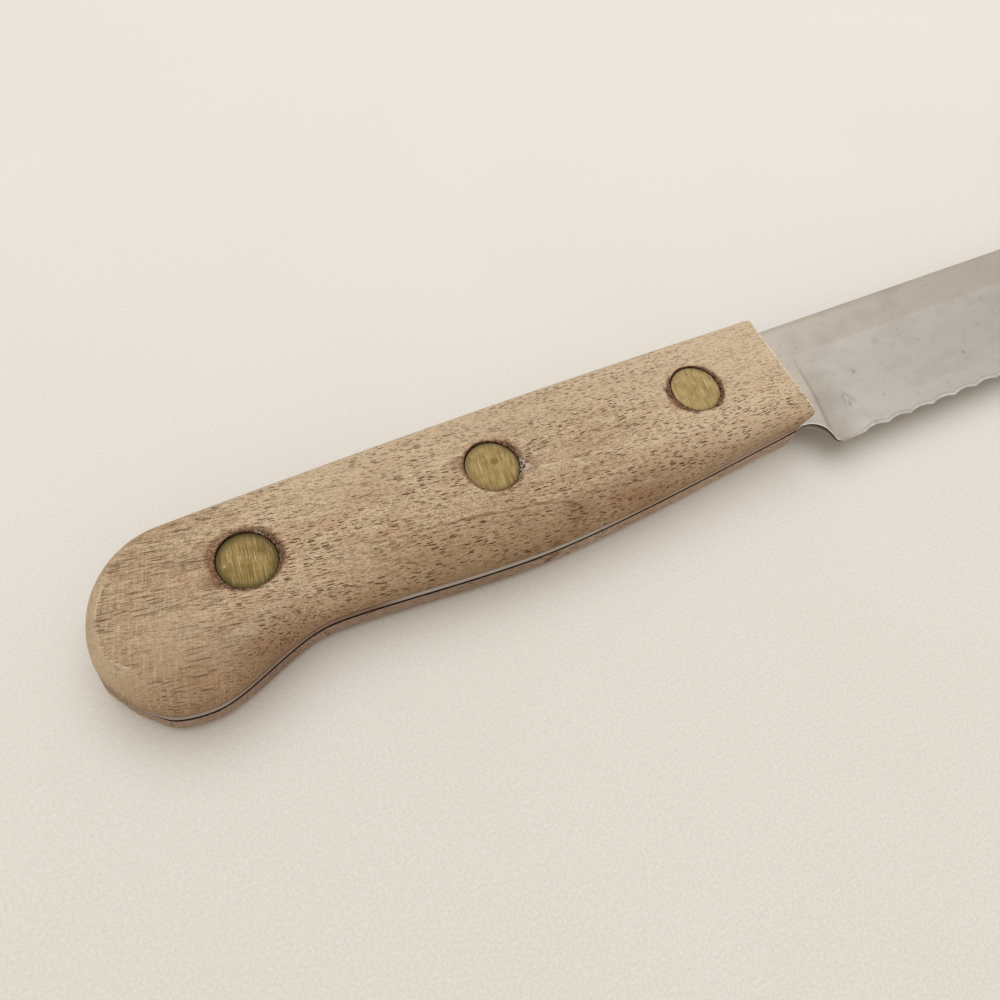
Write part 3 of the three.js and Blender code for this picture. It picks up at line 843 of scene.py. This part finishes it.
def scale_loop():
    """The closed outline of one scale, anticlockwise from its front corner at the spine."""
    corner = CORNER_RADIUS
    worn = WORN_CORNER_RADIUS
    side = handle_side(SCALE_CURVE_STEPS)[1:]
    side = [at for at in side if at.y > -FRONT_DEPTH / 2 or at.x < -worn]
    top = bezier([(0, SPINE_STEP - corner), (0, SPINE_STEP), (-corner, SPINE_STEP)], TOP_CORNER_STEPS)
    low = bezier([side[-1], (0, -FRONT_DEPTH), (0, worn - FRONT_DEPTH)], LOW_CORNER_STEPS)
    front = bezier([(0, worn - FRONT_DEPTH), (0, SPINE_STEP - corner)], FRONT_STEPS)
    return top + side + low + front


def belly_edge(name, at):
    """Width and height of the rounded edge along the belly, tighter towards the front corner."""
    share = rising(-at.x, 0, BELLY_FROM_FRONT)
    behind_front = rising(-at.x, 0.5, FRONT_RUN)
    return [mix(a, mix(b, c, share), behind_front) for a, b, c in zip(*BELLY_EDGES[name])]


def edge_shape(name, at, inward):
    """Width, height and crispness of the rounded edge at one point of a scale's outline."""
    if inward.y < 0:
        width = mix(SPINE_EDGE_AT_FRONT, SPINE_EDGE_WIDTH, rising(-at.x, 0, FRONT_RUN))
        height = SPINE_EDGE_HEIGHT
        crisp = SPINE_EDGE_CRISPNESS
    else:
        width, height = belly_edge(name, at)
        crisp = 0
    butt = max(inward.x, 0) ** 2
    front = max(-inward.x, 0) ** 2
    facet = BUTT_FACET_WIDTH + BUTT_FACET_CHANGE * roughly(at.x * 0.21, at.y * 0.21, 5)
    width = mix(mix(width, facet, butt), FRONT_EDGE, front)
    height = mix(mix(height, BUTT_FACET_HEIGHT, butt), FRONT_EDGE, front)
    return width, height, mix(crisp, BUTT_FACET_CRISPNESS, butt)


def rim_height(share, width, height, crisp):
    """Inset and drop of a rounded edge, from the side at 0 to the face at 1."""
    turn = share * math.pi / 2
    inset = mix(width * (1 - math.cos(turn)), width * share, crisp)
    drop = mix(height * (1 - math.sin(turn)), height * (1 - share), crisp)
    return inset, drop


def edge_marks(at, way, share, inside):
    """Marks at one point of a scale's rounded edge: wear, a painted highlight on the ridge and front edge,
    and painted shade on the belly side.
    """
    butt = max(way.x, 0) ** 2
    at_face = 0 if inside else rising(share, 0.6, 1)
    return {
        # The ridge and the front edge are marked for wear with a painted highlight
        "ridge": (at_face == 1) * butt * rising(way.y, 0.75, 0.2),
        "front_edge": at_face * max(-way.x, 0) ** 2,
        "butt_bevel": butt if share < 1 else 0,
        # The belly side of the edge is marked for painted shade
        "belly": (1 - share) ** 0.7 if way.y > BELLY_SIDE else 0,
        "spine_rim": (1 - share ** 3) * rising(at.x, -106, -96) if way.y < -BELLY_SIDE else 0,
    }


def gap_opening(turn):
    """How much wider the dark gap round a rivet is at one turn."""
    opened = max(math.cos(turn - GAP_OPEN_TURN), 0) ** 2
    return GAP_OPENING * opened - GAP_CLOSING * max(-math.sin(turn), 0)


def grime_at(rivet, turn):
    """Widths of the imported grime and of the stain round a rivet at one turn, in mm."""
    widths = RIVET_GRIME[rivet]
    for (low, *near), (high, *far) in zip(widths, widths[1:] + widths[:1]):
        span = (high - low) % 360
        past = (math.degrees(turn) - low) % 360
        if past <= span:
            return [mix(a, b, rising(past, 0, span)) for a, b in zip(near, far)]


def grime_marks(out, packed, stained):
    """Marks of grime and stain at a distance out from the gap round a rivet."""
    return {
        "grime": 1 - rising(out, packed * 0.5, packed * 1.15),
        "stain": 1 - rising(out, stained * 0.4, stained * 1.2),
    }


class ScaleShape(Shape):
    """One scale while it is made: its outline, and its rings of points at heights above the seam."""

    def __init__(self, name, seam, facing):
        super().__init__(*WOOD_MARKS)
        self.name = name
        self.seam = seam
        self.facing = facing
        loop = scale_loop()
        self.ways = [inward_at(loop, i) for i in range(len(loop))]
        self.loop = with_worn_butt(loop, self.ways, name)

    def above_seam(self, x, y, height, **marks):
        return self.point(x, y, self.seam + self.facing * height, **marks)

    def seam_ring(self, inset, height, grime):
        """A ring in the groove along the seam, dark with dirt and painted shade, darker at the butt."""
        ring = []
        for at, way in zip(self.loop, self.ways):
            inner = at + way * inset
            dark = grime * mix(1, BUTT_SEAM_DARKNESS, rising(-at.x, 84, 104))
            # The belly side is marked for painted shade
            belly = 1 if way.y > BELLY_SIDE else 0
            ring.append(self.above_seam(inner.x, inner.y, height, seam=min(dark, 1), belly=belly))
        return ring

    def edge_ring(self, share, inside=0):
        """A ring on the rounded edge, from the side at 0 to the face at 1, or farther inside on the face."""
        ring = []
        for at, way in zip(self.loop, self.ways):
            inset, drop = rim_height(share, *edge_shape(self.name, at, way))
            shaved = SHAVED_DEPTH * roughly(at.x * 0.09, at.y * 0.09, 3) * (1 - share)
            farther = inside * mix(0.25, 1, rising(-at.x, 0, FRONT_RUN))
            inner = at + way * (inset + farther + max(shaved, 0))
            inner.y -= FRONT_FLARE[self.name] * rising(at.x, -10, -0.6) * max(way.y, 0)
            marks = edge_marks(at, way, share, inside)
            ring.append(self.above_seam(inner.x, inner.y, SCALE_THICKNESS - drop, **marks))
        return ring

    def lip_ring(self, rivet, row):
        """A ring on the lip of a bore: chipped, dipped, stained and packed with grime, all but the first."""
        centre = RIVETS[rivet]
        radius, depth, chips, dips = BORE_LIP[row]
        beyond = radius - GAP_RADIUS
        near_gap = max(1 - beyond / GAP_LEAN_REACH, 0)
        ring = []
        for turn in turns(BORE_STEPS):
            packed, stained = grime_at(rivet, turn)
            jag = roughly(*around((0, 0), 4, turn), centre[0] + row * 0.15)
            dip = roughly(*around((0, 0), 11, turn), centre[0] + row)
            narrowed = 1 - LIP_NARROWING * max(-math.sin(turn), 0)
            out = beyond * narrowed
            reach = GAP_RADIUS + out + chips * jag * narrowed + gap_opening(turn) * near_gap
            fall = max(depth * (0.4 + packed) + dips * dip * (0.3 + packed), 0)
            ragged = 1 + 0.6 * jag
            marks = grime_marks(out, packed * ragged, stained * ragged) if row else {}
            ring.append(self.above_seam(*around(centre, reach, turn), SCALE_THICKNESS - fall, **marks))
        return ring

    def wall_ring(self, rivet, radius, depth):
        """A ring on the wall of a bore, painted dark with dirt and stain, and painted shade where the gap
        round the head shows.
        """
        ring = []
        for turn in turns(BORE_STEPS):
            reach = radius + (gap_opening(turn) if radius == GAP_RADIUS else 0)
            place = around(RIVETS[rivet], reach, turn)
            ring.append(self.above_seam(*place, SCALE_THICKNESS - depth, grime=1, stain=1))
        return ring

    def counterbore(self, rivet):
        """The stepped hole of one rivet, as rings from the face of the scale to the seam."""
        rings = [self.lip_ring(rivet, row) for row in range(len(BORE_LIP))]
        rings += [self.wall_ring(rivet, *row) for row in BORE_WALL]
        self.join_rings(rings)
        return rings


def make_scale(name, seam, facing, wood):
    """A scale with a seam dark with dirt and painted shade, rounded edges, and bores whose lips are worn and
    chipped.
    """
    scale = ScaleShape(name, seam, facing)
    rings = [scale.seam_ring(*row) for row in SEAM_GROOVES[name]]
    rings += [scale.edge_ring(step / EDGE_STEPS) for step in range(EDGE_STEPS + 1)]
    rings += [scale.edge_ring(1, inside) for inside in FACE_RINGS]
    scale.join_rings(rings)
    holes = [scale.counterbore(rivet) for rivet in RIVETS]
    scale.flat_face(rings[-1], *[hole[0] for hole in holes])
    scale.flat_face(rings[0], *[hole[-1] for hole in holes])
    scale.make_piece(name, wood)


def edge_line():
    """The cutting edge before it is serrated, as (distance along it, start, end), and its length."""
    bend = BLADE_LENGTH - EDGE_SWEEP
    heel = HEEL_SETBACK + HEEL_RADIUS
    pull = BLADE_LENGTH - EDGE_SWEEP * SWEEP_PULL
    points = [Vector((heel, -EDGE_DEPTH)), Vector((bend, -EDGE_DEPTH))]
    sweep = [(bend, -EDGE_DEPTH), (pull, -EDGE_DEPTH), (BLADE_LENGTH, -TIP_DROP)]
    points += bezier(sweep, SWEEP_STEPS)
    line = []
    gone = 0
    for a, b in zip(points, points[1:]):
        line.append((gone, a, b))
        gone += (b - a).length
    return line, gone


def edge_place(line, gone):
    """The place at a distance along the edge, and the way the edge runs there."""
    start, a, b = [piece for piece in line if piece[0] <= gone][-1]
    share = (gone - start) / (b - a).length
    return a.lerp(b, share), (b - a).normalized()


def spine_height(x):
    """Height of the spine of the blade at a distance from the scales."""
    start = BLADE_LENGTH - SPINE_SWEEP
    if x <= start:
        return 0
    pull = BLADE_LENGTH - SPINE_SWEEP * SWEEP_PULL
    a = BLADE_LENGTH - 2 * pull + start
    b = 2 * (pull - start)
    t = (math.sqrt(b * b - 4 * a * (start - x)) - b) / (2 * a)
    return -TIP_DROP * t * t


def choil_columns():
    """Columns of the blade round the choil and the heel, as (x, edge height, bevel width, sharpness)."""
    columns = []
    radius = HEEL_DROP - HEEL_RADIUS
    middle = -FRONT_DEPTH - radius
    start = HEEL_SETBACK - radius
    for step in range(CHOIL_STEPS + 1):
        x = HEEL_SETBACK * math.sin(step / CHOIL_STEPS * math.pi / 2)
        rise = math.sqrt(max(radius ** 2 - max(x - start, 0) ** 2, 0))
        columns.append((x, middle + rise))
    for share in shares(HEEL_STEPS):
        turn = share * math.pi / 2
        x = HEEL_SETBACK + HEEL_RADIUS * (1 - math.cos(turn))
        columns.append((x, middle - HEEL_RADIUS * math.sin(turn)))
    return [(x, y, CHOIL_BEVEL, 0) for x, y in columns]


def scallop_places(length):
    """Distances along the edge, each with its share of a scallop, or none where the edge is plain."""
    scallops = math.floor((length - PLAIN_HEEL - PLAIN_TIP) / SCALLOP_PITCH)
    end = PLAIN_HEEL + scallops * SCALLOP_PITCH
    rest = length - TIP_CUT - end
    places = [(PLAIN_HEEL * share, None) for share in shares(PLAIN_HEEL_STEPS)]
    for scallop in range(scallops):
        for share in shares(SCALLOP_STEPS):
            places.append((PLAIN_HEEL + (scallop + share) * SCALLOP_PITCH, share))
    return places + [(end + rest * share, None) for share in shares(PLAIN_TIP_STEPS)]


def edge_columns():
    """Columns of the blade from the heel to the tip, as (x, edge height, bevel width, sharpness)."""
    line, length = edge_line()
    columns = []
    for gone, share in scallop_places(length):
        at, along = edge_place(line, gone)
        depth = 0 if share is None else SCALLOP_DEPTH * (1 - (2 * share - 1) ** 2)
        lead = rising(gone, PLAIN_HEEL - 2, PLAIN_HEEL) * rising(gone, length, length - 4)
        bevel = mix(PLAIN_BEVEL, SCALLOP_BEVEL, lead)
        columns.append((at.x, at.y + depth / along.x, bevel, rising(gone, 0, PLAIN_HEEL - 1)))
    return columns


def half_thickness(x, y, edge):
    """Half the steel's thickness in plan, and how far it is ground there."""
    below = -FLAT_BAND - y
    if below <= 0:
        return HALF_STEEL, 0
    share = below / (EDGE_DEPTH - FLAT_BAND)
    plunge = PLUNGE_AT_EDGE + PLUNGE_LEAN * (1 - share ** 2)
    plunge += PLUNGE_FLARE * math.exp(-below / PLUNGE_FLARE_FALL)
    crease = rising(x, plunge - 0.3, plunge + 0.5)
    short_of_full = 1 - min(max((x - plunge) / PLUNGE_RUN, 0), 1)
    ground = mix(1 - short_of_full ** 2, crease, PLUNGE_CREASE)
    hollow = (HALF_STEEL - HALF_EDGE) * share + 4 * HOLLOW_SAG * share * (1 - share)
    half = HALF_STEEL - hollow * ground
    tapered = HALF_EDGE + EDGE_TAPER * (y - edge)
    return mix(half, min(half, tapered), rising(x, 60, 120)), ground


def column_heights(edge, bevel, spine, ease):
    """Heights up one column of the blade, from the edge past the grind line to the spine."""
    grind_line = min(-FLAT_BAND, mix(spine, edge, 0.12))
    heights = [edge, edge + bevel * 0.45, edge + bevel]
    heights += [mix(edge + bevel, grind_line, step / 18) for step in range(1, 18)]
    heights += [grind_line - 0.12, grind_line]
    heights += [mix(grind_line, spine - ease, step / 6) for step in range(1, 7)]
    return heights + [spine - ease * 0.4, spine]


def blade_column(x, edge, bevel, sharpness):
    """The points up one column of the blade, as (y, upper height, lower height, ground, painted edge
    highlight).
    """
    spine = spine_height(x)
    ease = SPINE_EASE * rising(x, 0, 0.4) * rising(BLADE_LENGTH - x, 0, 6)
    heights = column_heights(edge, min(bevel, (spine - edge) * 0.3), spine, ease)
    drops = {0: ease, 1: ease * 0.3, len(heights) - 2: ease * 0.25, len(heights) - 1: ease}
    column = []
    for row, y in enumerate(heights):
        half, ground = half_thickness(x, y, edge)
        drop = min(drops.get(row, 0), half * 0.8)
        upper = half - drop
        lower = drop - half
        worn = 0
        if row < 2:
            upper = mix(upper, mix(-half + 0.02, half, row * 0.45), sharpness)
            lower = -half
            # Painted highlight on the choil's edge and the scallops' bevels
            worn = max(rising(x, 5.4, 4.4), sharpness * (0.45 + 0.35 * roughly(x * 0.8, 0, 9)))
        column.append((y, upper, lower, ground, worn))
    return column


def blade_sheets(blade):
    """Columns of points on the blade's upper and lower sides, and a row in the wall between them."""
    upper = []
    lower = []
    walls = []
    for x, edge, bevel, sharpness in choil_columns() + edge_columns():
        column = blade_column(x, edge, bevel, sharpness)
        # The choil's wall and the foot below it carry painted shade
        dark = 1 if x < CHOIL_END else 0
        tops = []
        bottoms = []
        for row, (y, top, bottom, ground, worn) in enumerate(column):
            foot = 0 if row else dark * CHOIL_FOOT_SHADE
            tops.append(blade.point(x, y, TANG_MIDDLE + top, ground=ground, worn_edge=worn))
            bottoms.append(blade.point(x, y, TANG_MIDDLE + bottom, ground=ground, wall=foot))
        _, top, bottom, _, _ = column[0]
        walls.append(blade.point(x, edge, TANG_MIDDLE + mix(top, bottom, 0.12), wall=dark))
        upper.append(tops)
        lower.append(bottoms)
    return upper, lower, walls


def make_blade(metal):
    """Blade and tang in one: hollow grind, plunge, choil, scalloped edge and the tang's holes."""
    blade = Shape(*BLADE_MARKS)
    upper, lower, walls = blade_sheets(blade)
    for sheet in (upper, lower):
        blade.join_rows(list(zip(*sheet)))
    blade.join_rows([[column[0] for column in upper], walls, [column[0] for column in lower]])
    blade.join_rows([[column[-1] for column in upper], [column[-1] for column in lower]])
    blade.mesh.faces.new(upper[-1] + lower[-1][::-1] + [walls[-1]])
    add_tang(blade, upper[0], lower[0], walls[0])
    blade.make_piece("blade", metal, BLADE_CREASE)


def tang_rows(blade):
    """Rows of points round the edge of the tang, with a dark line of dirt and painted shade low on it."""
    side = handle_side(TANG_CURVE_STEPS)
    ways = [inward_at(side, i) for i in range(1, len(side) - 1)]
    ways = ways[:1] + ways + ways[-1:]
    side = with_worn_butt(side, ways, "blade")
    rows = []
    for height, inset, grime in TANG_ROWS:
        row = []
        for at, way in zip(side, ways):
            inner = at + way * inset
            row.append(blade.point(inner.x, inner.y, TANG_MIDDLE + height, tang=1, wall=grime))
        rows.append(row)
    return rows


def shank_holes(blade, height):
    """Rings of the three rivet holes in one side of the tang."""
    rings = []
    for centre in RIVETS.values():
        places = [around(centre, SHANK_HOLE_RADIUS, turn) for turn in turns(SHANK_HOLE_STEPS)]
        rings.append([blade.point(*place, TANG_MIDDLE + height) for place in places])
    return rings


def add_tang(blade, upper_front, lower_front, wall):
    """Adds the tang behind the first column of the blade, with its rivet holes."""
    rows = tang_rows(blade)
    holes = []
    for row, front, height in ((rows[0], upper_front, HALF_STEEL), (rows[-1], lower_front, -HALF_STEEL)):
        rings = shank_holes(blade, height)
        blade.flat_face(row + front, *rings)
        holes.append(rings)
    for rings in zip(*holes):
        blade.join_rings(rings)
    blade.join_rows(rows)
    blade.mesh.faces.new([upper_front[-1]] + [row[0] for row in rows] + [lower_front[-1]])
    blade.mesh.faces.new([row[-1] for row in rows] + [lower_front[0], wall, upper_front[0]])


def turned_piece(name, centre, profile, metal):
    """A turned rivet half from rows of (radius, height, dullness) that start and end on the axis."""
    half = Shape("rim")
    rings = []
    for radius, height, dullness in profile:
        places = [around(centre, radius, turn) for turn in turns(HEAD_STEPS if radius else 1)]
        rings.append([half.point(*place, height, rim=dullness) for place in places])
    for tip, ring in ((rings[0][0], rings[1]), (rings[-1][0], rings[-2])):
        for i in range(len(ring)):
            half.mesh.faces.new((tip, ring[i - 1], ring[i]))
    half.join_rings(rings[1:-1])
    half.make_piece(name, metal)


def head_rows(face, facing, dullness):
    """Rows of a rivet's head from the middle of its face to the foot of its rim."""
    return [(radius, face - facing * drop, dull * dullness) for radius, drop, dull in HEAD_ROWS]


def make_rivet(name, metal):
    """The two halves of one rivet: a socket from above and a post from below."""
    socket_face = KNIFE_TOP - HEAD_RECESS
    socket_shelf = socket_face - HEAD_THICKNESS
    post_shelf = HEAD_RECESS + HEAD_THICKNESS
    socket_end = post_shelf + END_CLEARANCE
    post_end = socket_shelf - END_CLEARANCE
    bore = POST_RADIUS + POST_CLEARANCE
    socket = head_rows(socket_face, 1, RIM_DULLNESS[name])
    socket += [(SOCKET_RADIUS, socket_shelf, 1), (SOCKET_RADIUS, socket_end, 1)]
    socket += [(bore, socket_end, 1), (bore, socket_shelf, 1), (0, socket_shelf, 1)]
    post = head_rows(HEAD_RECESS, -1, RIM_DULLNESS[name])
    post += [(POST_RADIUS, post_shelf, 1), (POST_RADIUS, post_end, 1), (0, post_end, 1)]
    turned_piece(name + "_rivet_socket", RIVETS[name], socket, metal)
    turned_piece(name + "_rivet_post", RIVETS[name], post, metal)


def cream():
    """The table's cream colour, very slightly mottled and paler far off."""
    finish = Finish("cream_table", None, TABLE_COLOURS)
    here = finish.place()
    x, y, _ = finish.parts(here)
    far = finish.vector("LENGTH", here, output="Value").rising(300, 1200)
    mottle = finish.noise(here, (2.2,) * 3, 4, 0.7)
    cloud = finish.noise(here, (0.02,) * 3)
    tone = (mottle - 0.5) * (1.2 + y.falling(-100, 40) * 1.2) + cloud * 0.3 + 0.05
    tone = tone + x.rising(-150, 50) * 0.2 + y.rising(-100, 100).at_least(far) * 0.6
    finish.base = finish.between(tone, "shaded", "lit")
    normal = finish.bump(mottle, 0.04)
    finish.surface({"Roughness": 0.9, "Specular IOR Level": 0.1, "Normal": normal})
    return finish


def make_table():
    """A plain table just under the knife."""
    mesh = bmesh.new()
    bmesh.ops.create_grid(mesh, x_segments=8, y_segments=8, size=TABLE_HALF_SIZE)
    table = add_mesh("table", mesh, cream())
    table.location.z = -TABLE_DROP * MM


def make_room():
    """An even room, with a cream backdrop for the camera."""
    world = bpy.data.worlds.new("room")
    room = Nodes(world)
    light = room.node("ShaderNodeBackground", {}, {"Color": ROOM_COLOUR, "Strength": ROOM_STRENGTH})
    backdrop = room.node("ShaderNodeBackground", {}, {"Color": shade(BACKDROP_COLOUR)})
    seen = room.node("ShaderNodeLightPath", {}, {}, "Is Camera Ray")
    either = room.node("ShaderNodeMixShader", {}, {0: seen, 1: light, 2: backdrop})
    room.node("ShaderNodeOutputWorld", {}, {"Surface": either})
    bpy.context.scene.world = world


def make_lamp():
    """A broad soft light overhead, a little beyond the spine."""
    lamp = bpy.data.lights.new("soft_light", "SUN")
    lamp.energy = LAMP_ENERGY
    lamp.color = LAMP_COLOUR
    lamp.angle = math.radians(LAMP_SPREAD)
    add_object("soft_light", lamp).rotation_euler = turned(LAMP_TURN)


def make_camera():
    """A camera above the butt, as wide as it is far."""
    lens = bpy.data.cameras.new("camera")
    lens.sensor_width = CAMERA_LENS
    lens.lens = CAMERA_LENS
    lens.clip_start = CAMERA_NEAREST * MM
    camera = add_object("camera", lens)
    camera.location = Vector(CAMERA_PLACE) * MM
    camera.rotation_euler = turned(CAMERA_TURN)
    bpy.context.scene.camera = camera


walnut_finish = Walnut()
brass_finish = brass()
make_scale("upper_scale", UPPER_SEAM, 1, walnut_finish)
make_scale("lower_scale", LOWER_SEAM, -1, walnut_finish)
make_blade(steel())
for rivet in RIVETS:
    make_rivet(rivet, brass_finish)
make_table()
make_room()
make_lamp()
make_camera()
bpy.context.scene.view_settings.view_transform = "Standard"
